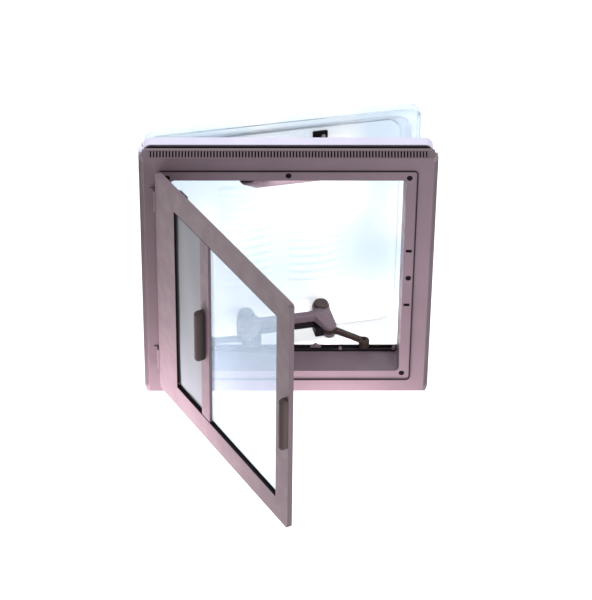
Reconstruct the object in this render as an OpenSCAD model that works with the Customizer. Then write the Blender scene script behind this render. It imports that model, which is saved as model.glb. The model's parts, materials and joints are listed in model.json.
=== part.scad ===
/* Wall window with an inward-opening sash, a side-pulled blind, an insect screen and an outer
   dome on cranked stays. Millimetres, +Z up, +X to the right seen from the room, +Y outwards.
   The origin is the centre of the wall cut-out, on the wall's outer face. */

/* [Wall] */
// Width and height of the hole cut in the wall
cutout_w = 400; // [400:1:404]
// Thickness of the wall between the inner and the outer frame
wall_t = 16; // [14:1:20]

/* [Inner frame] */
// Width and height of the clear opening
clear_w = 375; // [373:1:376]
// Width and height of the inner frame's front face
face_w = 458; // [456:1:462]
// How far the slotted bevel flares out beyond the face
bevel_flare = 8; // [6:1:10]
// Depth of the slotted bevel
bevel_depth = 11; // [10:1:12]
// Depth of the inner frame from its face to the wall
inner_depth = 17; // [16:1:20]
// Spacing of the ventilation slits
slit_pitch = 5; // [4:0.5:8]
// Width of one slit
slit_w = 2.4; // [1.6:0.1:2.8]

/* [Outer frame] */
// Width and height of the outer flange
flange_w = 463; // [460:1:466]
// Depth of the outer flange
flange_depth = 22; // [20:1:24]
// Thickness of the foam gasket on the wall
gasket_t = 4; // [3:0.5:5]

/* [Sash] */
// Width and height of the sash
sash_w = 421; // [419:1:422]
// Thickness of the sash
sash_t = 8.5; // [8.5:0.5:10]
// Width of the sash's hinge stile
hinge_stile_w = 63; // [56:1:66]
// Width of the sash's free stile
free_stile_w = 37; // [36:1:48]
// Height of the sash's top and bottom rails
sash_rail_h = 40; // [39:1:44]
// Angle that the sash stands open
sash_open = 60.5; // [30:0.5:80]
// Height of each finger grip
grip_h = 96; // [80:1:110]

/* [Blind] */
// How far the blind is drawn out of the hinge stile
blind_drawn = 83; // [20:1:280]
// Width of the pull bar
bar_w = 26; // [22:1:30]

/* [Dome] */
// Width and height of the dome
dome_w = 462; // [460:1:463]
// Depth of the dome's side walls
dome_depth = 30; // [28:1:34]
// Angle that the dome stands open
dome_open = 12; // [4:0.5:14]

/* [Stays] */
// Distance of each rod's pivot from the middle of its stay bar
pivot_x = 70.5; // [69:0.5:72]
// Diameter of the button housings
housing_d = 29; // [28:0.5:30]
// Length of each stay rod between its two pivots
rod_len = 62; // [61:0.5:64]

/* [Hidden] */
$fn = 48;

taupe = [0.52, 0.45, 0.47];
grip_brown = [0.50, 0.45, 0.43];
lilac = [0.90, 0.88, 0.94];
black = [0.08, 0.08, 0.09];
steel = [0.72, 0.72, 0.75];
acrylic = [0.78, 0.93, 0.97, 0.45];
blind_grey = [0.62, 0.66, 0.70];
veil = [0.75, 0.80, 0.84, 0.5];

pin_gap = 0.05;                        // running gap round a pin
slide_gap = 0.4;                       // gap round a sliding or touching piece

// Inner frame and reveal
rear_y = -wall_t;                      // rear edge, against the wall
front_y = -wall_t - inner_depth;       // front face
face_half = face_w / 2;
skirt_half = face_half + bevel_flare;
skin = 3;                              // wall thickness of both frames
clear_half = clear_w / 2;
clear_r = 8;
reveal_half = clear_half + skin;
flange_y = gasket_t + flange_depth;    // rear face of the outer flange
rail_line = flange_y + 3;              // line that the rods' feet follow
reveal_y = flange_y + 11;              // rear end of the reveal
bevel_angle = atan2(bevel_flare, bevel_depth);
bevel_len = norm([bevel_flare, bevel_depth]);
slot_inset = 1;                        // bevel left at each edge of a vent slot
slot_half = face_half - 7;             // half length of a vent slot
groove_half = 205;                     // middle of the rim seal
groove_w = 2;

// Outer frame
flange_half = flange_w / 2;
collar_in = reveal_half + 0.5;
collar_out = collar_in + 2.5;
collar_y = -12;
corner_screw = clear_half + 4.5;
side_screw = clear_half + 9;
screw_r = 1.45;
screw_head_r = 4.6;

// Stay rails and keepers
rail_top_z = clear_half - 4.5;
rail_half = clear_half - 0.05;
rail_w = 14;
rail_groove_w = 8;
keeper_x = 195.5;
keeper_z = 53;

// Sash, drawn closed and then swung open about its hinge
sash_rear = front_y - 2;
sash_front = sash_rear - sash_t;
plate_y = sash_front + 2.5;            // rear of the sash's front plate
sash_x0 = -208;
sash_x1 = sash_x0 + sash_w;
sash_half_h = sash_w / 2;
sash_axis = [sash_x0 - 3, sash_front + 1.5, 0];
knuckle_r = 3.5;
sash_pin_r = 1.5;
sash_hinge_z = 155;
sash_hinge_h = 39;
win_x0 = sash_x0 + hinge_stile_w;
win_x1 = sash_x1 - free_stile_w;
win_half = sash_half_h - sash_rail_h;
seal_t = 1.3;
grip_z = -8;
grip_w = 13;

// Blind
bar_x0 = win_x0 + blind_drawn;
bar_front = sash_front + 0.5;
bar_rear = sash_front + 5.5;
sheet_y = sash_front + 6;
guide_depth = 8;
house_x0 = -clear_half + 1.5;
house_x1 = house_x0 + 23;
house_y1 = front_y + 24;
house_half = 176;
roller_c = [(house_x0 + house_x1) / 2, house_y1 - 11.5, 0];
axle_r = 2;

// Dome, drawn shut and then swung open about its hinge
dome_y = flange_y + 2;                 // rim plane
dome_half = dome_w / 2;
skin_y = dome_y + 22;                  // room-side face of the inner skin
dome_axis = [-flange_half - 4, dome_y + 2.5, 0];
dome_knuckle_r = 3.9;
dome_pin_r = 2;
dome_hinge_z = 190;
dome_hinge_h = 40;

// Stays, drawn for the bottom and mirrored for the top
housing_r = housing_d / 2;
housing_foot_r = housing_r + 2.2;      // a housing widens towards its arm
housing = [pivot_x - 5.5, dome_y - 2]; // axis of a button housing
housing_z0 = -160;
housing_z1 = -137.5;
bar_y0 = dome_y - 36;                  // bar between the two arms
bar_y1 = bar_y0 + 13;
stay_z0 = -147.5;
stay_z1 = -132;
pivot = [pivot_x, dome_y - 42];        // axis of a rod's hub
hub_r = 10.2;
hub_z0 = -166.7;
hub_z1 = -157.3;
arm_z0 = hub_z1 + 0.3;                 // the arm from bar and housing to pivot
arm_z1 = -152;
cap_z0 = -174.5;                       // foot of the cap under the hub
stay_pin_r = 3;
button_r = 12.5;
button_travel = 3;
button_recess = 10;
foot_r = 9.2;
foot_z0 = -rail_top_z + slide_gap;
foot_z1 = foot_z0 + 16.5;
foot_pin_r = 2;
foot_head_r = 3.2;
foot_head_h = 1.6;

// Point p turned by angle a about centre c
function turned(p, c, a) = [c.x + (p.x - c.x) * cos(a) - (p.y - c.y) * sin(a),
                            c.y + (p.x - c.x) * sin(a) + (p.y - c.y) * cos(a), 0];
// Where the pivot on side s (1 right, -1 left) stands with the dome open
function pivot_at(s) = turned([s * pivot.x, pivot.y, 0], dome_axis, dome_open);
// Angle above or below the X axis that puts a rod's foot on the rail
function rod_lift(s) = asin((rail_line - pivot_at(s).y) / rod_len);
// Direction of the rod on side s, seen from above
function rod_angle(s) = s > 0 ? rod_lift(s) : 180 - rod_lift(s);

module rounded_square(half, r) {
    square([2 * half, 2 * (half - r)], center = true);
    square([2 * (half - r), 2 * half], center = true);
    for (sx = [-1, 1], sz = [-1, 1])
        translate([sx * (half - r), sz * (half - r)]) circle(r);
}

// Extrudes an X-Z outline from y0 to y1
module span_y(y0, y1) {
    translate([0, y1, 0]) rotate([90, 0, 0]) linear_extrude(y1 - y0) children();
}

module slab(half, r, y0, y1) {
    span_y(y0, y1) rounded_square(half, r);
}

module ring(outer, outer_r, inner, inner_r, y0, y1) {
    difference() {
        slab(outer, outer_r, y0, y1);
        slab(inner, inner_r, y0 - 1, y1 + 1);
    }
}

// Box between two opposite corners
module block(a, b) {
    translate([min(a.x, b.x), min(a.y, b.y), min(a.z, b.z)])
        cube([abs(b.x - a.x), abs(b.y - a.y), abs(b.z - a.z)]);
}

// Cylinder along Y from y0 to y1 at x, z
module rod_y(x, z, r, y0, y1) {
    translate([x, y1, z]) rotate([90, 0, 0]) cylinder(r = r, h = y1 - y0);
}

// Upright cylinder from z0 to z1 at the point p
module rod_z(p, r, z0, z1) {
    translate([p.x, p.y, min(z0, z1)]) cylinder(r = r, h = abs(z1 - z0));
}

module about(axis, angle) {
    translate([axis.x, axis.y, 0]) rotate([0, 0, angle]) translate([-axis.x, -axis.y, 0]) children();
}

module sash_pose() {
    about(sash_axis, -sash_open) children();
}

module dome_pose() {
    about(dome_axis, dome_open) children();
}

// Bottom piece as drawn, or its mirror image at the top
module at_level(top) {
    mirror([0, 0, top ? 1 : 0]) children();
}

/* Fixed frames */

module bevelled_block(inset, y1) {
    for_profile = [[-face_half + inset, front_y + inset], [face_half - inset, front_y + inset],
                   [skirt_half - inset, front_y + bevel_depth], [skirt_half - inset, y1],
                   [-skirt_half + inset, y1], [-skirt_half + inset, front_y + bevel_depth]];
    intersection() {
        linear_extrude(2 * skirt_half, center = true) polygon(for_profile);
        rotate([0, 90, 0]) linear_extrude(2 * skirt_half, center = true) polygon(for_profile);
    }
}

// Local axes on the bevel of one side: X along it, Y up its slope, Z out of it
module on_bevel(side) {
    rotate([0, 90 * side, 0]) translate([0, front_y, face_half]) rotate([bevel_angle, 0, 0]) children();
}

module screw_places() {
    for (sx = [-1, 1], sz = [-1, 1]) translate([sx * corner_screw, 0, sz * corner_screw]) children();
    for (s = [-1, 1]) {
        translate([0, 0, s * side_screw]) children();
        translate([s * side_screw, 0, 0]) children();
    }
}

module inner_frame() {
    color(taupe) difference() {
        union() {
            difference() {
                intersection() {
                    bevelled_block(0, rear_y);
                    slab(skirt_half, 14, front_y, rear_y);
                }
                bevelled_block(skin, rear_y + 1);
                slab(clear_half, clear_r, front_y - 1, rear_y);
            }
            ring(reveal_half, clear_r + skin, clear_half, clear_r, front_y + 1, reveal_y);
        }
        ring(groove_half + groove_w / 2, 7, groove_half - groove_w / 2, 5, front_y - 1, front_y + 1.2);
        for (side = [0:3]) on_bevel(side)
            block([-slot_half, slot_inset, -5], [slot_half, bevel_len - slot_inset, 1]);
        screw_places() rod_y(0, 0, screw_r + 0.3, front_y - 1, front_y + skin + 1);
        screw_places() rod_y(0, 0, screw_head_r + 0.2, front_y - 1, front_y + 1.6);
        for (s = [-1, 1]) block([keeper_x - 5, front_y - 1, s * keeper_z - 2.5],
                                [keeper_x + 5, front_y + skin + 1, s * keeper_z + 2.5]);
    }
}

module vent_grille(side) {
    slits = floor((2 * slot_half - 4) / slit_pitch);
    x0 = -slits * slit_pitch / 2;
    end_x = slot_half - 0.2;
    low = slot_inset + 0.2;
    root = low + 0.6;
    tip = bevel_len - slot_inset - 0.2;
    teeth = [for (i = [0:slits - 1], c = [[0, tip], [0, root], [slit_w, root], [slit_w, tip]])
             [x0 + i * slit_pitch + (slit_pitch - slit_w) / 2 + c.x, c.y]];
    color(taupe) on_bevel(side) translate([0, 0, -2.4]) linear_extrude(2)
        polygon(concat([[-end_x, low], [-end_x, tip]], teeth, [[end_x, tip], [end_x, low]]));
}

module outer_frame() {
    rib = 211;
    color(lilac) difference() {
        union() {
            difference() {
                slab(flange_half, 14, gasket_t, flange_y);
                ring(flange_half - 4.5, 10, collar_out + 3, 15, gasket_t - 1, flange_y - skin);
                slab(collar_in, clear_r + 3.5, gasket_t - 1, flange_y + 1);
            }
            ring(rib, 14, rib - 2, 12, gasket_t, flange_y - 1);
            ring(collar_out, 14, collar_in, clear_r + 3.5, collar_y, flange_y);
            for (sx = [-1, 1], sz = [-1, 1])
                rod_y(sx * corner_screw, sz * corner_screw, 4, collar_y, gasket_t + 6);
            for (a = [0:90:270]) rotate([0, a, 0])
                block([-5, collar_y, collar_out - 1], [5, gasket_t + 6, cutout_w / 2 - 0.5]);
        }
        screw_places() rod_y(0, 0, screw_r + pin_gap, collar_y - 1, gasket_t + 4);
    }
}

module wall_gasket() {
    color(black) ring(flange_half - 1.5, 13, 209, 12, 0, gasket_t);
}

module dome_seal() {
    color(black) ring(226, 14, 218, 10, flange_y, flange_y + 1.6);
}

module rim_seal() {
    color(black) ring(groove_half + 0.9, 6.9, groove_half - 0.9, 5.1, front_y - 1.6, front_y + 1.1);
}

module clamp_screws() {
    color(black) screw_places() difference() {
        union() {
            rod_y(0, 0, screw_head_r, front_y + 0.3, front_y + 1.6);
            rod_y(0, 0, screw_r, front_y + 1, gasket_t + 2);
        }
        for (a = [0, 90]) rotate([0, a, 0])
            block([-2, front_y - 1, -0.4], [2, front_y + 0.9, 0.4]);
    }
}

module rail(top) {
    groove_z = -clear_half + 1;
    color(black) at_level(top) difference() {
        intersection() {
            block([-rail_half, rail_line - rail_w / 2, -rail_half], [rail_half, rail_line + rail_w / 2, -rail_top_z]);
            slab(rail_half, clear_r, rail_line - rail_w, rail_line + rail_w);
        }
        block([-rail_half + clear_r, rail_line - rail_groove_w / 2, groove_z],
              [rail_half - clear_r, rail_line + rail_groove_w / 2, -rail_top_z + 1]);
    }
}

module rail_stops() {
    front = rail_line - rail_w / 2 + 1.5;
    color(taupe) for (top = [false, true], s = [-1, 1]) at_level(top) {
        translate([s * 91, front, -rail_top_z]) cylinder(r1 = 3.3, r2 = 2.2, h = 3.5);
        translate([s * 181.5, front, -rail_top_z]) cylinder(r1 = 4, r2 = 2.8, h = 4.5);
        translate([s * 50, rail_line + 1.5, -rail_top_z]) {
            block([-9, -4, 0], [9, 4, 1.6]);
            cylinder(r = 4, h = 4);
            translate([0, 0, 4]) cylinder(r1 = 4, r2 = 2.5, h = 2);
        }
    }
}

module keeper_inserts() {
    color(black) for (s = [-1, 1]) difference() {
        block([keeper_x - 4.8, front_y - 0.2, s * keeper_z - 2.3],
              [keeper_x + 4.8, front_y + skin + 2, s * keeper_z + 2.3]);
        block([keeper_x - 4, front_y - 1, s * keeper_z - 1.6],
              [keeper_x + 4, front_y + skin + 3, s * keeper_z + 1.6]);
    }
}

/* Sash hinges */

module sash_hinge_frame_leaves() {
    color(taupe) for (s = [-1, 1]) translate([0, 0, s * sash_hinge_z]) difference() {
        union() {
            block([sash_axis.x - 9, front_y - 1.6, -sash_hinge_h / 2], [sash_axis.x + 1, front_y, sash_hinge_h / 2]);
            for (z = [-1, 1]) {
                rod_z(sash_axis, knuckle_r, z * sash_hinge_h / 2, z * 7);
                block([sash_axis.x - knuckle_r, sash_axis.y, z * sash_hinge_h / 2],
                      [sash_axis.x - 1, front_y - 1, z * 7]);
            }
        }
        rod_z(sash_axis, sash_pin_r + 0.02, -sash_hinge_h, sash_hinge_h);
    }
}

module sash_hinge_pins() {
    color(steel) for (s = [-1, 1]) translate([0, 0, s * sash_hinge_z])
        rod_z(sash_axis, sash_pin_r, -sash_hinge_h / 2, sash_hinge_h / 2);
}

module sash_hinge_sash_leaves() {
    color(taupe) sash_pose() for (s = [-1, 1]) translate([0, 0, s * sash_hinge_z]) difference() {
        union() {
            rod_z(sash_axis, knuckle_r, -6.7, 6.7);
            block([sash_axis.x, plate_y + 0.1, -6.5], [sash_x0 + 4, plate_y + 1.7, 6.5]);
            block([sash_x0 + 2.4, plate_y + 0.1, -sash_hinge_h / 2],
                  [sash_x0 + 18, plate_y + 1.7, sash_hinge_h / 2]);
        }
        rod_z(sash_axis, sash_pin_r + pin_gap, -8, 8);
    }
}

/* Sash */

module sash_frame() {
    mid_x = (sash_x0 + sash_x1) / 2;
    color(taupe) sash_pose() difference() {
        translate([mid_x, 0, 0]) slab(sash_half_h, 5, sash_front, sash_rear);
        block([sash_x0 + 2.2, plate_y, -sash_half_h + 2.2], [sash_x1 - 2.2, sash_rear + 1, sash_half_h - 2.2]);
        block([win_x0 - seal_t - 0.1, sash_front - 1, -win_half - seal_t - 0.1],
              [win_x1, plate_y + 1, win_half + seal_t + 0.1]);
        for (s = [-1, 1]) {
            translate([0, 0, s * sash_hinge_z])
                rod_z(sash_axis, knuckle_r + slide_gap, -sash_hinge_h / 2 - 0.5, sash_hinge_h / 2 + 0.5);
            block([sash_x0 - 1, plate_y, s * sash_hinge_z - 6.8],
                  [sash_x0 + 3, plate_y + 1.9, s * sash_hinge_z + 6.8]);
        }
    }
}

module sash_rear_cover() {
    color(taupe) sash_pose() difference() {
        block([sash_x0 + 2.4, sash_rear - 1.6, -sash_half_h + 2.4], [sash_x1 - 2.4, sash_rear, sash_half_h - 2.4]);
        block([house_x0 - 1.5, sash_rear - 2, -house_half - 5], [win_x1 + 8, sash_rear + 1, house_half + 5]);
        for (s = [-1, 1]) block([keeper_x - 2.3, sash_rear - 2, s * keeper_z - 1.4],
                                [keeper_x + 2.3, sash_rear + 1, s * keeper_z + 1.4]);
    }
}

// Finger grip with round ends, standing proud of the face y by depth
module finger_grip(x, y, depth) {
    r = grip_w / 2;
    reach = grip_h / 2 - r;
    translate([x, y, grip_z]) {
        rod_z([0, -depth + r, 0], r, -reach, reach);
        block([-r, -depth + r, -reach], [r, 0, reach]);
        for (s = [-1, 1]) translate([0, 0, s * reach]) {
            translate([0, -depth + r, 0]) sphere(r);
            rod_y(0, 0, r, -depth + r, 0);
        }
    }
}

module sash_grip() {
    color(grip_brown) sash_pose() finger_grip(sash_x1 - 6.5, sash_front, 13);
}

module snap_hooks() {
    color(black) sash_pose() for (s = [-1, 1]) {
        block([keeper_x - 3, sash_rear, s * keeper_z - 1.1], [keeper_x + 3, front_y + 6, s * keeper_z + 1.1]);
        block([keeper_x - 6, sash_rear - 4, s * keeper_z - 5], [keeper_x + 6, sash_rear - 1.7, s * keeper_z + 5]);
        block([keeper_x - 2, sash_rear - 2, s * keeper_z - 1.1], [keeper_x + 2, sash_rear + 0.1, s * keeper_z + 1.1]);
    }
}

module insect_screen() {
    color(veil) sash_pose()
        block([win_x0 + 0.5, sash_rear - 0.9, -win_half - 0.8], [win_x1 + 2.8, sash_rear - 0.4, win_half + 0.8]);
}

module screen_spline() {
    edge = 1;
    color(black) sash_pose() difference() {
        block([win_x0 - 5, sash_rear - 1.5, -win_half - 7], [win_x1 + 7, sash_rear - 0.1, win_half + 7]);
        block([win_x0 + 0.4, sash_rear - 2, -win_half - edge], [win_x1 + 3, sash_rear + 1, win_half + edge]);
    }
}

module brush_seal() {
    color(black) sash_pose() difference() {
        block([win_x0 - seal_t, sash_front + 0.2, -win_half - seal_t], [win_x1 - 0.1, plate_y + 0.1, win_half + seal_t]);
        block([win_x0, sash_front - 1, -win_half], [win_x1 + 1, plate_y + 1, win_half]);
    }
}

/* Blind */

module blind_guides() {
    color(black) sash_pose() for (s = [-1, 1]) difference() {
        block([win_x0 - 6, plate_y + 0.2, s * win_half], [win_x1 + 6, sheet_y + 0.5, s * (win_half + guide_depth)]);
        block([win_x0 - 7, plate_y + 0.6, s * (win_half - 1)], [win_x1 + 7, bar_rear - 0.1, s * (win_half + 6.5)]);
    }
}

module blind_housing() {
    wall = 1.6;
    color(taupe) sash_pose() difference() {
        block([house_x0, sash_rear, -house_half], [house_x1, house_y1, house_half]);
        block([house_x0 + wall, sash_rear - 1, -house_half - 1],
              [house_x1 - wall, house_y1 - wall, house_half + 1]);
    }
}

module blind_end_brackets() {
    color(black) sash_pose() for (s = [-1, 1]) difference() {
        block([house_x0, plate_y + 0.2, s * (house_half + 0.1)], [house_x1, house_y1, s * (house_half + 3)]);
        rod_z(roller_c, axle_r + 0.02, s * (house_half - 1), s * (house_half + 4));
    }
}

module blind_end_caps() {
    color(taupe) sash_pose() for (s = [-1, 1])
        block([house_x0 + 2, sash_rear + 1, s * (house_half + 3.1)],
              [house_x1 - 2, house_y1 - 2, s * (house_half + 4.6)]);
}

module roller_axles() {
    color(steel) sash_pose() for (s = [-1, 1]) rod_z(roller_c, axle_r, s * (house_half - 14), s * (house_half + 3));
}

module roller_tube() {
    color(steel) sash_pose() difference() {
        rod_z(roller_c, 6, -house_half + 3, house_half - 3);
        rod_z(roller_c, 5.2, -house_half, house_half);
    }
}

module roller_plugs() {
    color(black) sash_pose() for (s = [-1, 1]) difference() {
        rod_z(roller_c, 5.15, s * (house_half - 15), s * (house_half - 3));
        rod_z(roller_c, axle_r + pin_gap, s * (house_half - 16), s * house_half);
    }
}

module blind_roll() {
    color(blind_grey) sash_pose() difference() {
        rod_z(roller_c, 8.6, -win_half + 1.5, win_half - 1.5);
        rod_z(roller_c, 6.05, -win_half, win_half);
    }
}

module blind_sheet() {
    color(blind_grey) sash_pose()
        block([house_x1 + 0.5, sheet_y, -win_half + 1.5], [bar_x0, sheet_y + 0.5, win_half - 1.5]);
}

module blind_pull_bar() {
    color(taupe) sash_pose()
        block([bar_x0 + 0.1, bar_front, -win_half + slide_gap], [bar_x0 + bar_w, bar_rear, win_half - slide_gap]);
}

module blind_grip() {
    color(grip_brown) sash_pose() finger_grip(bar_x0 + 7, bar_front, 15.5);
}

module glide_shoes() {
    color(black) sash_pose() for (s = [-1, 1])
        block([bar_x0 + 1, plate_y + 0.9, s * (win_half - slide_gap + 0.05)],
              [bar_x0 + bar_w - 1, bar_rear - 0.4, s * (win_half + 6)]);
}

/* Dome */

// Thin rounded plate used as one station of a dome shell
module station(half, r, y) {
    slab(half, r, y, y + 0.5);
}

module dome_solid(inset, y0) {
    edge_y = dome_y + dome_depth;
    hull($fn = 32) {
        station(dome_half - inset, 22 - inset, y0);
        station(dome_half - inset, 22 - inset, edge_y - 9 - inset);
        station(dome_half - 4 - inset, 22, edge_y - 3 - inset);
        station(dome_half - 14, 30, edge_y - inset);
        station(dome_half - 90, 60, edge_y + 5 - inset);
    }
}

module dome_crown() {
    color(acrylic) dome_pose() difference() {
        dome_solid(0, dome_y);
        dome_solid(2.5, dome_y - 1);
    }
}

module skin_tray(inset, y0, y1) {
    hull($fn = 32) {
        station(214 - inset, 24 - inset, y0);
        station(207 - inset, 30 - inset, y1);
    }
}

module dome_inner_skin() {
    ribs = 12;
    rib_pitch = 16;
    color(acrylic) dome_pose() {
        difference() {
            union() {
                slab(dome_half - 3, 18, dome_y, dome_y + 2);
                skin_tray(0, dome_y, skin_y + 1.5);
            }
            skin_tray(2, dome_y - 1, skin_y - 0.5);
        }
        for (i = [0:ribs - 1], x0 = [-106, 8])
            translate([x0, skin_y + 0.2, (i - (ribs - 1) / 2) * rib_pitch])
                rotate([0, 90, 0]) cylinder(r = 1.6, h = 98, $fn = 24);
    }
}

module dome_hinge_brackets() {
    color(lilac) for (s = [-1, 1]) translate([0, 0, s * dome_hinge_z]) difference() {
        union() {
            block([-flange_half - 2, gasket_t + 4, -dome_hinge_h / 2], [-flange_half, flange_y - 1, dome_hinge_h / 2]);
            for (z = [-1, 1]) {
                rod_z(dome_axis, dome_knuckle_r, z * dome_hinge_h / 2, z * 8);
                block([dome_axis.x - dome_knuckle_r, flange_y - 8, z * dome_hinge_h / 2],
                      [-flange_half - 0.1, dome_axis.y, z * 8]);
            }
        }
        rod_z(dome_axis, dome_pin_r + 0.02, -dome_hinge_h, dome_hinge_h);
    }
}

module dome_hinge_pins() {
    color(steel) for (s = [-1, 1]) translate([0, 0, s * dome_hinge_z])
        rod_z(dome_axis, dome_pin_r, -dome_hinge_h / 2, dome_hinge_h / 2);
}

module dome_hinge_leaves() {
    color(lilac) dome_pose() for (s = [-1, 1]) translate([0, 0, s * dome_hinge_z]) difference() {
        union() {
            rod_z(dome_axis, dome_knuckle_r, -7.7, 7.7);
            block([dome_axis.x, dome_axis.y, -7.5], [-dome_half - 0.1, dome_axis.y + 8, 7.5]);
            block([-dome_half - 2, dome_axis.y + 5, -dome_hinge_h / 2],
                  [-dome_half - 0.1, dome_y + 17, dome_hinge_h / 2]);
        }
        rod_z(dome_axis, dome_pin_r + pin_gap, -9, 9);
    }
}

/* Stays */

// Runs its children at the right (1) and the left (-1) side, about the point p
module at_pair(p) {
    for (s = [-1, 1]) translate([s * p.x, p.y, 0]) children();
}

module stay_bar(top) {
    bar = [bar_y1 - bar_y0, stay_z1 - stay_z0];
    round_r = 3;
    shoulder_x = pivot.x - 15;
    recess_z = housing_z1 - button_recess;
    color(taupe) dome_pose() at_level(top) difference() {
        union() {
            at_pair(housing) translate([0, 0, housing_z0])
                cylinder(r1 = housing_foot_r, r2 = housing_r, h = housing_z1 - housing_z0);
            for (s = [-1, 1]) hull() {
                block([s * (shoulder_x - 10), bar_y0 + 1, stay_z0], [s * shoulder_x, bar_y1, stay_z1 - 1]);
                rod_z([s * housing.x, housing.y], housing_r, arm_z0, stay_z1 - 11);
                rod_z([s * pivot.x, pivot.y], hub_r + 2, arm_z0, arm_z1);
            }
            translate([-shoulder_x, (bar_y0 + bar_y1) / 2, (stay_z0 + stay_z1) / 2]) rotate([90, 0, 90])
                linear_extrude(2 * shoulder_x) {
                    square([bar.x, bar.y - 2 * round_r], center = true);
                    square([bar.x - 2 * round_r, bar.y], center = true);
                    for (sy = [-1, 1], sz = [-1, 1])
                        translate([sy * (bar.x / 2 - round_r), sz * (bar.y / 2 - round_r)]) circle(round_r);
                }
        }
        at_pair(housing) rod_z([0, 0, 0], button_r + 0.4, stay_z1 + 1, recess_z);
        at_pair(pivot) rod_z([0, 0, 0], stay_pin_r + 0.02, arm_z0 - 1, arm_z1 - 2);
    }
}

module post_caps() {
    edge = 3;
    color(taupe) dome_pose() for (top = [false, true]) at_level(top) at_pair(pivot) difference() {
        translate([0, 0, cap_z0]) rotate_extrude() {
            translate([0, edge]) square([hub_r, hub_z0 - 0.3 - cap_z0 - edge]);
            square([hub_r - edge, edge + 1]);
            translate([hub_r - edge, edge]) circle(edge);
        }
        rod_z([0, 0, 0], stay_pin_r + 0.02, cap_z0 + 3, hub_z0 + 1);
    }
}

module stay_pivot_pins() {
    color(steel) dome_pose() for (top = [false, true]) at_level(top) at_pair(pivot)
        rod_z([0, 0, 0], stay_pin_r, cap_z0 + 3.2, arm_z1 - 2.2);
}

// Black bracket that carries the bar and its arms off the dome's inner skin
module stay_base(top) {
    back_y = skin_y - 0.8;
    plate_z1 = arm_z0 - 0.1;
    plate_z0 = plate_z1 - 3;
    leg_x0 = pivot.x - 24;
    leg_x1 = pivot.x - 10.8;
    leg_z = cap_z0 - 0.5;
    foot_x = pivot.x + 5.5;
    foot_z = -166;
    color(black) dome_pose() at_level(top) difference() {
        union() {
            block([-leg_x1, bar_y0 + 1, plate_z0], [leg_x1, skin_y - 16, plate_z1]);
            block([-leg_x0 + 2, bar_y0 + 1, plate_z1 - 1], [leg_x0 - 2, bar_y1 - 1, stay_z0 - 0.1]);
            for (s = [-1, 1]) {
                block([s * leg_x0, pivot.y, leg_z], [s * (pivot.x - 8), skin_y - 40, plate_z1]);
                block([s * (leg_x0 + 3.5), skin_y - 40, leg_z + 3], [s * leg_x1, back_y, foot_z + 2]);
                block([s * (leg_x0 + 3.5), skin_y - 40, leg_z + 3], [s * leg_x1, skin_y - 16, plate_z1]);
                block([s * (leg_x0 + 4.5), skin_y - 6, -194], [s * foot_x, back_y, foot_z]);
                block([s * leg_x1, pivot.y - 4, cap_z0 + 1], [s * (pivot.x - 9.2), pivot.y + 4, hub_z0 - 1]);
                rod_z([s * housing.x, housing.y], 11, leg_z + 3, housing_z0 - 0.1);
            }
        }
        for (s = [-1, 1]) {
            rod_z([s * pivot.x, pivot.y], hub_r + 0.1, leg_z - 1, hub_z0 - 0.3);
            rod_z([s * pivot.x, pivot.y], hub_r + 0.5, hub_z0 - 0.4, plate_z1 + 1);
            rod_z([s * housing.x, housing.y], housing_foot_r + 0.2, housing_z0 - 0.1, plate_z1 + 1);
            rod_y(s * (pivot.x - 2.5), -186, 1.9, skin_y - 7, skin_y);
        }
    }
}

module stay_base_screws() {
    color(steel) dome_pose() for (top = [false, true], s = [-1, 1]) at_level(top) {
        rod_y(s * (pivot.x - 2.5), -186, 1.85, skin_y - 6, skin_y - 0.9);
        rod_y(s * (pivot.x - 2.5), -186, 3.4, skin_y - 8, skin_y - 6);
    }
}

// Rod with its hub on the pivot and its cranked end over the rail
module stay_rod(s, top) {
    width = 9.5;
    height = 9;
    reach = 15;                        // level part of the rod beside the hub
    hub_z = (hub_z0 + hub_z1) / 2;
    end_z = foot_z1 - 5;
    drop = atan2(hub_z - end_z, rod_len - reach);
    run = norm([rod_len - reach, hub_z - end_z]);
    color(grip_brown) at_level(top) translate(pivot_at(s)) rotate([0, 0, rod_angle(s)]) difference() {
        union() {
            rod_z([0, 0, 0], hub_r, hub_z0, hub_z1);
            block([0, -width / 2 - 0.3, hub_z - height / 2], [reach, width / 2 + 0.3, hub_z + height / 2]);
            translate([reach, 0, hub_z]) rotate([0, drop, 0])
                block([-1.5, -width / 2, 0.3 - height / 2], [run - foot_head_r - 1, width / 2, height / 2 - 0.3]);
            rod_z([rod_len, 0, 0], foot_r, foot_z0, foot_z1 - 2);
            translate([rod_len, 0, foot_z1 - 2]) cylinder(r1 = foot_r, r2 = foot_r - 2, h = 2);
        }
        rod_z([0, 0, 0], stay_pin_r + pin_gap + 0.02, hub_z0 - 1, hub_z1 + 1);
        rod_z([rod_len, 0, 0], foot_pin_r + 0.02, foot_z0 - 1, foot_z1 + 1);
        rod_z([rod_len, 0, 0], foot_head_r + 0.1, foot_z1 - foot_head_h + 0.3, foot_z1 + 1);
    }
}

module foot_pin(s, top) {
    color(black) at_level(top) translate(pivot_at(s)) rotate([0, 0, rod_angle(s)]) {
        rod_z([rod_len, 0, 0], foot_pin_r, -clear_half + 1.6, foot_z1 - foot_head_h + 0.4);
        rod_z([rod_len, 0, 0], foot_head_r, foot_z1 - foot_head_h + 0.4, foot_z1 + 0.4);
    }
}

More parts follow.
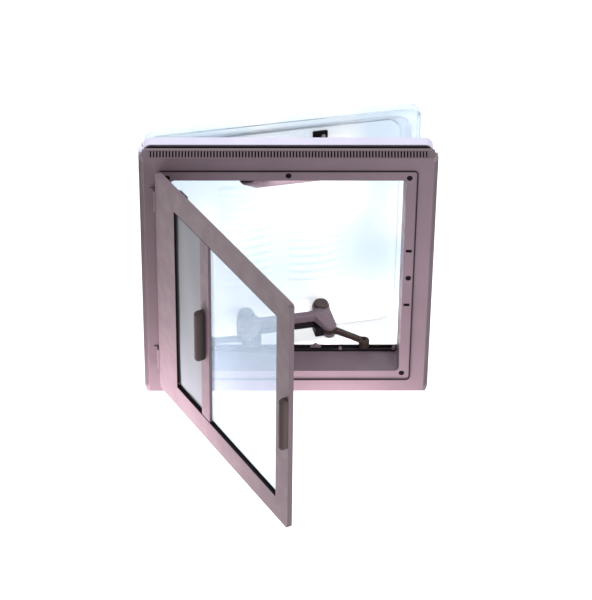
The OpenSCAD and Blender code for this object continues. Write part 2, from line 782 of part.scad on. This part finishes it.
module release_button(s, top) {
    head_z = housing_z1 + 3;
    edge = 2.4;
    color(grip_brown) dome_pose() at_level(top) translate([s * housing.x, housing.y, 0]) {
        rod_z([0, 0, 0], button_r, housing_z1 - button_recess + button_travel + 0.5, head_z);
        translate([0, 0, head_z]) rotate_extrude() {
            square([button_r - edge, edge]);
            translate([button_r - edge, 0]) intersection() {
                circle(edge);
                square(edge);
            }
        }
    }
}

inner_frame();
vent_grille(0);  // vent_grille_top
vent_grille(1);  // vent_grille_right
vent_grille(2);  // vent_grille_bottom
vent_grille(3);  // vent_grille_left
outer_frame();
wall_gasket();
dome_seal();
rim_seal();
clamp_screws();
rail(false);  // rail_bottom
rail(true);  // rail_top
rail_stops();
keeper_inserts();
sash_hinge_frame_leaves();
sash_hinge_pins();
dome_hinge_brackets();
dome_hinge_pins();
sash_frame();
sash_rear_cover();
sash_hinge_sash_leaves();
sash_grip();
snap_hooks();
insect_screen();
screen_spline();
brush_seal();
blind_guides();
blind_housing();
blind_end_brackets();
blind_end_caps();
roller_axles();
blind_sheet();
roller_tube();
roller_plugs();
blind_roll();
blind_pull_bar();
blind_grip();
glide_shoes();
dome_crown();
dome_inner_skin();
dome_hinge_leaves();
stay_bar(false);  // stay_bar_bottom
stay_bar(true);  // stay_bar_top
stay_base(false);  // stay_base_bottom
stay_base(true);  // stay_base_top
stay_base_screws();
stay_pivot_pins();
post_caps();
stay_rod(1, false);  // stay_rod_bottom_right
stay_rod(-1, false);  // stay_rod_bottom_left
stay_rod(1, true);  // stay_rod_top_right
stay_rod(-1, true);  // stay_rod_top_left
foot_pin(1, false);  // foot_pin_bottom_right
foot_pin(-1, false);  // foot_pin_bottom_left
foot_pin(1, true);  // foot_pin_top_right
foot_pin(-1, true);  // foot_pin_top_left
release_button(1, false);  // button_bottom_right
release_button(-1, false);  // button_bottom_left
release_button(1, true);  // button_top_right
release_button(-1, true);  // button_top_left
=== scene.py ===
"""Looks for the wall window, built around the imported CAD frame: materials, the dome's clear shells, the
insect netting, the blind cloth and the soft edges of the moulded parts."""

import json
import math

import bpy
import numpy as np
from mathutils import Matrix, Vector


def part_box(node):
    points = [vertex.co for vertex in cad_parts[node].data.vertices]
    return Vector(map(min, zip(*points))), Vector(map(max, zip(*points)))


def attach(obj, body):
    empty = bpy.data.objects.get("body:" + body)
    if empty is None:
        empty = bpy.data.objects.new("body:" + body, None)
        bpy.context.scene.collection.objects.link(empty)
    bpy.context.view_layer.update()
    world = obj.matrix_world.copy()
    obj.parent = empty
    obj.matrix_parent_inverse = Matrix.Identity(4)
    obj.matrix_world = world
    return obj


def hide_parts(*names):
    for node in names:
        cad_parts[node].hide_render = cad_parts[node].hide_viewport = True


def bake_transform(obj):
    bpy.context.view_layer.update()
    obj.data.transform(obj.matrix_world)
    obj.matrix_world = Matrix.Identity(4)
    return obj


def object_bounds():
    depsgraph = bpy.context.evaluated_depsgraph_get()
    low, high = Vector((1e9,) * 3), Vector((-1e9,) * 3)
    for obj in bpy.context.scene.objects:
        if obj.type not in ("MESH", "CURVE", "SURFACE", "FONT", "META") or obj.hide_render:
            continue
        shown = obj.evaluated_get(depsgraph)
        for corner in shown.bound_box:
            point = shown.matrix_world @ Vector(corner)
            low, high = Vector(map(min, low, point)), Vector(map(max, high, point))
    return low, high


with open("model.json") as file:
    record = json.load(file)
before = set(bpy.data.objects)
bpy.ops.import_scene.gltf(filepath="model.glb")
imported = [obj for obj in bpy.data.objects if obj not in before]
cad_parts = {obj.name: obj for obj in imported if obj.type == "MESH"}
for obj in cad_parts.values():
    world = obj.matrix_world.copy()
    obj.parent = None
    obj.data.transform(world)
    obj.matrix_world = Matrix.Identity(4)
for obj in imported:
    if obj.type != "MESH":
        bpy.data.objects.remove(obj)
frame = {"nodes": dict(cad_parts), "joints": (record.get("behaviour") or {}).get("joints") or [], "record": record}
cad_low, cad_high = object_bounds()

# Poses that the CAD is drawn in, in radians
SASH_OPEN = math.radians(60.5)
DOME_OPEN = math.radians(12)
JOINTS = {j["name"]: j for j in frame["joints"]}


def about(joint, angle):
    """Matrix that turns by angle about a hinge's upright axis."""
    pivot = Matrix.Translation(JOINTS[joint]["pos_m"])
    return pivot @ Matrix.Rotation(angle, 4, "Z") @ pivot.inverted()


SASH_POSE = about("sash_hinge", -SASH_OPEN)
DOME_POSE = about("dome_hinge", DOME_OPEN)
FRONT_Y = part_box("inner_frame")[0].y

# Dome shells, in metres; the rim's distance is from the inner frame's front face
RIM_Y = FRONT_Y + 0.061
CROWN_HALF = 0.231
CROWN_DEPTH = 0.030
CROWN_WALL = 0.0025
SKIN_HALF = 0.2275
SKIN_DEPTH = 0.022
SKIN_WALL = 0.0016
CORNER_STEPS = 10


# ---------------------------------------------------------------- camera, floor and lights

def make_camera():
    """The photograph's viewpoint: above the middle of the frame and almost square to it."""
    distance, lens, sensor = 4.029, 148.7, 36.0
    azimuth, elevation, roll = (math.radians(a) for a in (-1.05, 34.5, -0.58))
    back = Vector((math.sin(azimuth) * math.cos(elevation), -math.cos(azimuth) * math.cos(elevation),
                   math.sin(elevation)))
    right = Vector((math.cos(azimuth), math.sin(azimuth), 0))
    above = back.cross(right)
    across = math.cos(roll) * right - math.sin(roll) * above
    upward = math.sin(roll) * right + math.cos(roll) * above
    data = bpy.data.cameras.new("camera")
    data.lens, data.sensor_width = lens, sensor
    data.shift_x, data.shift_y = 0.0142, -0.0362
    data.clip_start, data.clip_end = 0.1, 50
    camera = bpy.data.objects.new("camera", data)
    place = Vector((0, FRONT_Y, 0)) + distance * back
    camera.matrix_world = Matrix.Translation(place) @ Matrix((across, upward, back)).transposed().to_4x4()
    bpy.context.scene.collection.objects.link(camera)
    bpy.context.scene.camera = camera


def area_light(name, place, aim, size, watts, tint=(1, 1, 1), seen=True):
    """A round lamp that shines from place towards aim; unless seen, only its light shows."""
    data = bpy.data.lights.new(name, "AREA")
    data.shape, data.size, data.energy, data.color = "DISK", size, watts, tint
    light = bpy.data.objects.new(name, data)
    light.location = place
    light.visible_camera = light.visible_glossy = light.visible_transmission = seen
    light.rotation_mode = "QUATERNION"
    light.rotation_quaternion = (Vector(aim) - Vector(place)).to_track_quat("-Z", "Y")
    bpy.context.scene.collection.objects.link(light)


def make_studio():
    """A white room: the window hangs well above a pale floor, as it does in a wall."""
    hang = 0.5
    bpy.ops.mesh.primitive_plane_add(size=14, location=(0, 2, cad_low.z - hang))
    floor = bpy.context.object
    floor.name = "floor"
    floor.data.materials.append(plain_material("floor_white", (0.97, 0.97, 0.97), 0.7))
    world = bpy.data.worlds.new("studio")
    world.use_nodes = True
    world.node_tree.nodes["Background"].inputs["Color"].default_value = (1, 1, 1, 1)
    world.node_tree.nodes["Background"].inputs["Strength"].default_value = 1.02
    bpy.context.scene.world = world
    bpy.context.scene.view_settings.view_transform = "Standard"
    area_light("low_right", (0.08, -0.115, -0.40), (0.08, -0.04, -0.20), 0.10, 4.4,
               (1, 0.86, 0.89), seen=False)
    area_light("low_left", (-0.38, -0.17, -0.335), (-0.12, -0.21, -0.20), 0.12, 6.4,
               (1, 0.88, 0.90), seen=False)
    area_light("fill", (0.45, -0.50, 0.02), (0.16, -0.03, 0.02), 0.25, 4.4,
               (0.95, 0.92, 1), seen=False)
    area_light("daylight", (0.05, 0.0, 0.15), (0.05, -0.02, -0.19), 0.16, 0.8,
               (0.97, 0.97, 1), seen=False)
    area_light("overhead", (-0.3, 1.0, 2.6), (0, 0.2, 0), 2.2, 60)


# ---------------------------------------------------------------- materials

def plain_material(name, colour, roughness):
    """A material with one colour and one roughness, which the others start from."""
    material = bpy.data.materials.new(name)
    material.use_nodes = True
    shader = material.node_tree.nodes["Principled BSDF"]
    shader.inputs["Base Color"].default_value = (*colour, 1)
    shader.inputs["Roughness"].default_value = roughness
    return material


class Nodes:
    """A material's node tree with short calls for the nodes used here."""

    def __init__(self, material):
        self.tree = material.node_tree
        self.shader = self.tree.nodes["Principled BSDF"]
        self.place = self.add("ShaderNodeTexCoord").outputs["Object"]

    def add(self, kind, **settings):
        node = self.tree.nodes.new(kind)
        for key, value in settings.items():
            setattr(node, key, value)
        return node

    def link(self, a, b):
        self.tree.links.new(a, b)

    def noise(self, scale, detail=3.0, stretch=(1, 1, 1)):
        mapping = self.add("ShaderNodeMapping")
        mapping.inputs["Scale"].default_value = stretch
        self.link(self.place, mapping.inputs["Vector"])
        noise = self.add("ShaderNodeTexNoise")
        noise.inputs["Scale"].default_value = scale
        noise.inputs["Detail"].default_value = detail
        self.link(mapping.outputs["Vector"], noise.inputs["Vector"])
        return noise.outputs["Fac"]

    def ramp(self, source, stops):
        ramp = self.add("ShaderNodeValToRGB")
        points = ramp.color_ramp.elements
        while len(points) < len(stops):
            points.new(0.5)
        for point, (at, colour) in zip(points, stops):
            point.position = at
            point.color = (*colour, 1)
        self.link(source, ramp.inputs["Fac"])
        return ramp.outputs["Color"]

    def bump(self, source, strength, distance):
        bump = self.add("ShaderNodeBump")
        bump.inputs["Strength"].default_value = strength
        bump.inputs["Distance"].default_value = distance
        self.link(source, bump.inputs["Height"])
        self.link(bump.outputs["Normal"], self.shader.inputs["Normal"])


def moulded_plastic(name, colour, roughness, spread=0.06, grain=900, grain_depth=0.00006, shine=0.5):
    """Injection-moulded plastic: fine spark-eroded grain, cloudy colour and uneven gloss."""
    material = plain_material(name, colour, roughness)
    n = Nodes(material)
    n.shader.inputs["Specular IOR Level"].default_value = shine
    darker = [c * (1 - spread) for c in colour]
    lighter = [min(1, c * (1 + spread)) for c in colour]
    n.link(n.ramp(n.noise(14, 4), [(0.3, darker), (0.7, lighter)]), n.shader.inputs["Base Color"])
    low, high = roughness - 0.06, roughness + 0.08
    gloss = n.ramp(n.noise(40, 3), [(0.35, (low,) * 3), (0.65, (high,) * 3)])
    n.link(gloss, n.shader.inputs["Roughness"])
    n.bump(n.noise(grain, 2), 0.5, grain_depth)
    return material


def drawn_steel(name, colour, roughness):
    """Drawn steel: streaks along the Z axis vary its roughness."""
    material = plain_material(name, colour, roughness)
    n = Nodes(material)
    n.shader.inputs["Metallic"].default_value = 1.0
    streaks = n.noise(300, 3, (1, 1, 0.05))
    n.link(n.ramp(streaks, [(0.3, (roughness - 0.1,) * 3), (0.7, (roughness + 0.15,) * 3)]),
           n.shader.inputs["Roughness"])
    n.bump(streaks, 0.2, 0.00004)
    return material


def acrylic(name, colour, roughness, haze):
    """Clear cast acrylic with a little milky scatter, as it looks against a bright sky; its cloudy bluish patches
    are a painted sky reflection.
    """
    material = plain_material(name, colour, roughness)
    n = Nodes(material)
    n.shader.inputs["Transmission Weight"].default_value = 1.0 - haze
    n.shader.inputs["IOR"].default_value = 1.14
    n.shader.inputs["Specular IOR Level"].default_value = 0.5
    # Cloudy bluish patches in the colour: painted sky reflection.
    painted_sky_tint = [c * k for c, k in zip(colour, (0.90, 0.96, 1))]
    n.link(n.ramp(n.noise(5, 2), [(0.42, painted_sky_tint), (0.62, [min(1, c * 1.04) for c in colour])]),
           n.shader.inputs["Base Color"])
    n.bump(n.noise(60, 2), 0.12, 0.0004)
    return material


def cloth_material(name, colour, weave):
    """Coated blind cloth or netting thread: a fine two-way weave under a soft sheen."""
    material = plain_material(name, colour, 0.75)
    n = Nodes(material)
    n.shader.inputs["Sheen Weight"].default_value = 0.25
    n.shader.inputs["Sheen Roughness"].default_value = 0.4
    threads = n.noise(weave, 2, (1, 1, 0.15))
    cloud = n.noise(9, 3, (1, 1, 0.5))
    n.link(n.ramp(cloud, [(0.3, [c * 0.93 for c in colour]), (0.7, [min(1, c * 1.06) for c in colour])]),
           n.shader.inputs["Base Color"])
    n.bump(threads, 0.4, 0.0001)
    return material


TAUPE = moulded_plastic("taupe_plastic", (0.098, 0.070, 0.082), 0.42, shine=0.3)
GRIP = moulded_plastic("grip_plastic", (0.050, 0.034, 0.033), 0.40, shine=0.2)
# The stay rods' plastic is darker than the grip plastic as painted shade: the rods lie in shade under the stay
# bars.
ROD_PAINTED_SHADE = moulded_plastic("rod_plastic", (0.030, 0.019, 0.015), 0.42, shine=0.2)
LILAC = moulded_plastic("lilac_plastic", (0.45, 0.435, 0.56), 0.38, 0.06)
BLACK = moulded_plastic("black_plastic", (0.008, 0.006, 0.007), 0.5, shine=0.12)
RUBBER = moulded_plastic("rubber", (0.012, 0.008, 0.009), 0.75, 0.1, 500, 0.0001, 0.15)
BRUSH = moulded_plastic("brush_pile", (0.008, 0.006, 0.007), 0.95, 0.2, 1500, 0.0004, 0.1)
STEEL = drawn_steel("drawn_steel", (0.62, 0.62, 0.64), 0.32)
DARK_STEEL = moulded_plastic("blackened_steel", (0.005, 0.003, 0.004), 0.5, shine=0.06)
CROWN = acrylic("crown_acrylic", (0.95, 0.98, 1.0), 0.06, 0.2)
SKIN = acrylic("skin_acrylic", (0.95, 0.97, 1.0), 0.08, 0.25)
NETTING = cloth_material("netting_thread", (0.45, 0.56, 0.68), 2500)
BLIND = cloth_material("blind_cloth", (0.10, 0.11, 0.123), 1800)

SLOT_MATERIALS = {"taupe_plastic": TAUPE, "grip_plastic": GRIP,
                  "rod_plastic": ROD_PAINTED_SHADE, "lilac_plastic": LILAC, "black_plastic": BLACK,
                  "rubber": RUBBER, "brush": BRUSH, "steel": STEEL, "black_steel": DARK_STEEL,
                  "crown_acrylic": CROWN, "skin_acrylic": SKIN, "screen_mesh": NETTING, "blind_cloth": BLIND}
SLOTS = {s["node"]: s["material_slot"] for s in frame["record"]["subparts"]}
BODY_OF = {n: b for b, members in frame["record"]["behaviour"]["bodies"].items() for n in members}


def finish_cad_nodes():
    """Every CAD node takes its slot's material; pieces that stand for a node come later."""
    for name, node in frame["nodes"].items():
        node.data.materials.clear()
        node.data.materials.append(SLOT_MATERIALS[SLOTS[name]])


# ---------------------------------------------------------------- mesh helpers

def new_piece(name, points, faces, material, body, node=None, pose=None, smooth=True):
    """A mesh piece that rides on body and may stand for a CAD node. pose carries it to the drawn pose."""
    mesh = bpy.data.meshes.new(name)
    mesh.from_pydata([tuple(p) for p in points], [], faces)
    if pose is not None:
        mesh.transform(pose)
    mesh.validate()
    if smooth:
        mesh.polygons.foreach_set("use_smooth", [True] * len(mesh.polygons))
    mesh.materials.append(material)
    piece = bpy.data.objects.new(name, mesh)
    bpy.context.scene.collection.objects.link(piece)
    if body:
        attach(piece, body)
    if node:
        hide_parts(node)
    return piece


def apply_modifiers(piece):
    """Puts the result of a piece's modifiers into its mesh."""
    graph = bpy.context.evaluated_depsgraph_get()
    mesh = bpy.data.meshes.new_from_object(piece.evaluated_get(graph))
    piece.modifiers.clear()
    piece.data = mesh


def soften(node, voxel=0.0009, rounds=6):
    """Stands for a moulded CAD node with the same shape, its hard edges rounded as a mould leaves them."""
    source = frame["nodes"][node]
    piece = bpy.data.objects.new(node + "_moulded", source.data.copy())
    bpy.context.scene.collection.objects.link(piece)
    remesh = piece.modifiers.new("remesh", "REMESH")
    remesh.mode = "VOXEL"
    remesh.voxel_size = voxel
    relax = piece.modifiers.new("relax", "SMOOTH")
    relax.factor, relax.iterations = 0.5, rounds
    apply_modifiers(piece)
    piece.data.polygons.foreach_set("use_smooth", [True] * len(piece.data.polygons))
    piece.data.materials.clear()
    piece.data.materials.append(SLOT_MATERIALS[SLOTS[node]])
    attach(piece, BODY_OF[node])
    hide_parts(node)
    return piece


def clear_bore(piece, button, travel, gap=0.00045):
    """Widens a softened bore to gap round its button, over the height the button travels through.
    Only the outer fifth of the bore is widened, which leaves its floor flat."""
    fillet = 0.8
    spots = np.array([v.co for v in frame["nodes"][button].data.vertices])
    low, high = spots.min(0), spots.max(0)
    mid_x, mid_y = (low[0] + high[0]) / 2, (low[1] + high[1]) / 2
    bore = (high[0] - low[0]) / 2 + gap
    bottom, top = low[2] + min(travel, 0) - gap, high[2] + max(travel, 0) + gap
    for v in piece.data.vertices:
        out = math.hypot(v.co.x - mid_x, v.co.y - mid_y)
        if fillet * bore < out < bore and bottom < v.co.z < top:
            v.co.x = mid_x + (v.co.x - mid_x) * bore / out
            v.co.y = mid_y + (v.co.y - mid_y) * bore / out


# ---------------------------------------------------------------- dome

def rounded_outline(half, radius):
    """Points of a rounded square in X and Z, anticlockwise from the right side."""
    points = []
    for corner, (sx, sz) in enumerate(((1, 1), (-1, 1), (-1, -1), (1, -1))):
        for step in range(CORNER_STEPS + 1):
            angle = math.radians(90 * (corner + step / CORNER_STEPS))
            points.append((sx * (half - radius) + radius * math.cos(angle),
                           sz * (half - radius) + radius * math.sin(angle)))
    return points


def loft(stations):
    """Rings of rounded squares (half, radius, y) joined in order; returns points and faces, ends open."""
    points, faces = [], []
    for half, radius, y in stations:
        points += [(x, y, z) for x, z in rounded_outline(half, radius)]
    count = len(points) // len(stations)
    for ring in range(len(stations) - 1):
        for i in range(count):
            j = (i + 1) % count
            faces.append((ring * count + i, ring * count + j, (ring + 1) * count + j, (ring + 1) * count + i))
    return points, faces, count


def make_dome_crown(rim_y, half, depth, wall):
    """Clear outer shell: upright sides, rolled edge and a slightly domed face, with a real wall."""
    corner, upright = 0.022, depth * 0.62
    roll_steps, roll_radius, roll_opening = 5, 0.011, 0.006
    face_steps, face_rounding, face_rise = (0.15, 0.35, 0.55, 0.75, 0.9), 0.03, 0.005

    def side(inset):
        """Stations from the rim to near the middle of the face, inset by part of the wall."""
        stations = [(half - inset, corner - inset, rim_y), (half - inset, corner - inset, rim_y + upright)]
        for k in range(1, roll_steps + 1):
            a = math.radians(90 * k / roll_steps)
            stations.append((half - inset - roll_radius * (1 - math.cos(a)),
                             corner - inset + roll_opening * math.sin(a),
                             rim_y + upright + roll_radius * math.sin(a) - inset * k / roll_steps))
        base = stations[-1]
        for share in face_steps:
            stations.append((base[0] * (1 - share),
                             base[1] * (1 - share) + face_rounding * share * (1 - share),
                             base[2] + face_rise * math.sin(share * math.pi / 2)))
        return stations

    outer, inner = side(0.0), side(wall)
    stations = list(reversed(inner)) + outer
    points, faces, count = loft(stations)
    faces.append(tuple(range(count - 1, -1, -1)))
    last = (len(stations) - 1) * count
    faces.append(tuple(range(last, last + count)))
    new_piece("dome_crown_shell", points, faces, CROWN, "dome", "dome_crown", DOME_POSE)


def eased(value):
    """A soft step from 0 to 1 over the same range of value."""
    value = min(max(value, 0), 1)
    return value * value * (3 - 2 * value)


def rib_lift(x, z):
    """Height share, 0 to 1, of the two columns of wavy ribs at a place on the tray's floor."""
    pitch, columns = 0.0158, ((-0.108, -0.010), (0.010, 0.108))
    column_half_height, end_fade, edge_fade, bend = 0.108, 0.012, 0.008, 0.006
    lift = 0.0
    for x0, x1 in columns:
        ends = min(max((x - x0) / end_fade, 0), 1) * min(max((x1 - x) / end_fade, 0), 1)
        reach = min(max((column_half_height - abs(z)) / edge_fade, 0), 1)
        bow = bend * math.sin((x - x0) / (x1 - x0) * math.pi)
        lift += eased(ends) * reach * (0.5 - 0.5 * math.cos(2 * math.pi * (z + bow) / pitch))
    return lift


def pulled_in(x, z, edge, corner):
    """A place on a square of half width edge, drawn into the round of its corners."""
    past_x, past_z = abs(x) - edge + corner, abs(z) - edge + corner
    out = math.hypot(max(past_x, 0), max(past_z, 0))
    if out <= corner:
        return x, z
    shrink = corner / out
    return (math.copysign(edge - corner + past_x * shrink, x),
            math.copysign(edge - corner + past_z * shrink, z))


def make_inner_skin(rim_y, half, floor_y):
    """Clear inner moulding: flat rim, sloping walls and a floor pressed into two columns of wavy ribs."""
    tray = 0.214
    floor_corner, rib_height, steps = 0.027, 0.0035, 150
    rim = [(half, 0.020, rim_y + SKIN_WALL), (half, 0.020, rim_y), (tray, 0.024, rim_y),
           (tray - 0.002, 0.025, rim_y + 0.006), (tray - 0.006, 0.028, floor_y - 0.005),
           (tray - 0.009, 0.028, floor_y - 0.001), (tray - 0.014, 0.027, floor_y)]
    points, faces, count = loft(rim)
    walls = new_piece("dome_skin_walls", points, faces, SKIN, "dome", "dome_inner_skin", DOME_POSE)
    edge = tray - 0.014
    grid, quads = [], []
    for i in range(steps + 1):
        for k in range(steps + 1):
            x = -edge + 2 * edge * i / steps
            z = -edge + 2 * edge * k / steps
            px, pz = pulled_in(x, z, edge, floor_corner)
            grid.append((px, floor_y - rib_height * rib_lift(x, z), pz))
    for i in range(steps):
        for k in range(steps):
            a = i * (steps + 1) + k
            quads.append((a, a + 1, a + steps + 2, a + steps + 1))
    floor = new_piece("dome_skin_floor", grid, quads, SKIN, "dome", None, DOME_POSE)
    for piece in (walls, floor):
        wall = piece.modifiers.new("wall", "SOLIDIFY")
        wall.thickness = SKIN_WALL
        apply_modifiers(piece)


# ---------------------------------------------------------------- sash pieces

def sash_rest(piece_name):
    """A sash node's box with the sash shut, found by turning its mesh back about the hinge."""
    back = SASH_POSE.inverted()
    points = np.array([back @ v.co for v in frame["nodes"][piece_name].data.vertices])
    return Vector(points.min(0)), Vector(points.max(0))


def make_netting():
    """Woven insect netting: one flat ribbon per thread, crossing over and under."""
    low, high = sash_rest("insect_screen")
    pitch, width, thickness, sway = 0.0012, 0.00022, 0.00014, 0.00008
    mid = (low.y + high.y) / 2
    points, faces = [], []

    def ribbon(along, across, fixed, offset):
        """One thread along an axis, at a fixed place on the other."""
        base = len(points)
        for a in (low[along], high[along]):
            for side in (-1, 1):
                p = [0, mid + offset, 0]
                p[along] = a
                p[across] = fixed + side * width / 2
                points.append(tuple(p))
        faces.append((base, base + 1, base + 3, base + 2))

    for along, across, offset in ((0, 2, -sway), (2, 0, sway)):
        start = low[across] + width
        for i in range(int((high[across] - low[across] - 2 * width) / pitch) + 1):
            ribbon(along, across, start + i * pitch, offset)
    piece = new_piece("netting", points, faces, NETTING, "sash", "insect_screen", SASH_POSE, smooth=False)
    wall = piece.modifiers.new("thread", "SOLIDIFY")
    wall.thickness = thickness
    wall.offset = 0
    apply_modifiers(piece)


def make_blind():
    """Blind cloth, slightly rippled, from the housing across to the pull bar."""
    low, high = sash_rest("blind_sheet")
    mid_y = (low.y + high.y) / 2
    columns, rows, thickness = 60, 90, 0.0004
    ripple, flutter = 0.0005, 0.0003
    grid, quads = [], []
    for i in range(columns + 1):
        for k in range(rows + 1):
            x = low.x + (high.x - low.x) * i / columns
            z = low.z + (high.z - low.z) * k / rows
            slack = math.sin(math.pi * i / columns)
            wave = ripple * math.sin(38 * z + 2) + flutter * math.sin(90 * x + 17 * z)
            grid.append((x, mid_y + slack * wave, z))
    for i in range(columns):
        for k in range(rows):
            a = i * (rows + 1) + k
            quads.append((a, a + rows + 1, a + rows + 2, a + 1))
    cloth = new_piece("blind_cloth_sheet", grid, quads, BLIND, None, None, SASH_POSE)
    wall = cloth.modifiers.new("thickness", "SOLIDIFY")
    wall.thickness = thickness
    wall.offset = 0
    apply_modifiers(cloth)
    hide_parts("blind_sheet")
    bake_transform(cloth)


# ---------------------------------------------------------------- build

make_camera()
make_studio()
finish_cad_nodes()
make_dome_crown(RIM_Y, CROWN_HALF, CROWN_DEPTH, CROWN_WALL)
make_inner_skin(RIM_Y, SKIN_HALF, RIM_Y + SKIN_DEPTH)
make_netting()
make_blind()
for level, press in (("bottom", -0.003), ("top", 0.003)):
    bar = soften("stay_bar_" + level)
    for hand in ("right", "left"):
        clear_bore(bar, "button_" + level + "_" + hand, press)
# The stay bases are black brackets. Where they show below the stay bars, their black also stands in for the shade
# inside the hollow bar housings, as painted shade.
for moulded in ("stay_base_bottom", "stay_base_top", "post_caps",
                "stay_rod_bottom_right", "stay_rod_bottom_left", "stay_rod_top_right", "stay_rod_top_left",
                "sash_grip", "blind_grip"):
    soften(moulded)
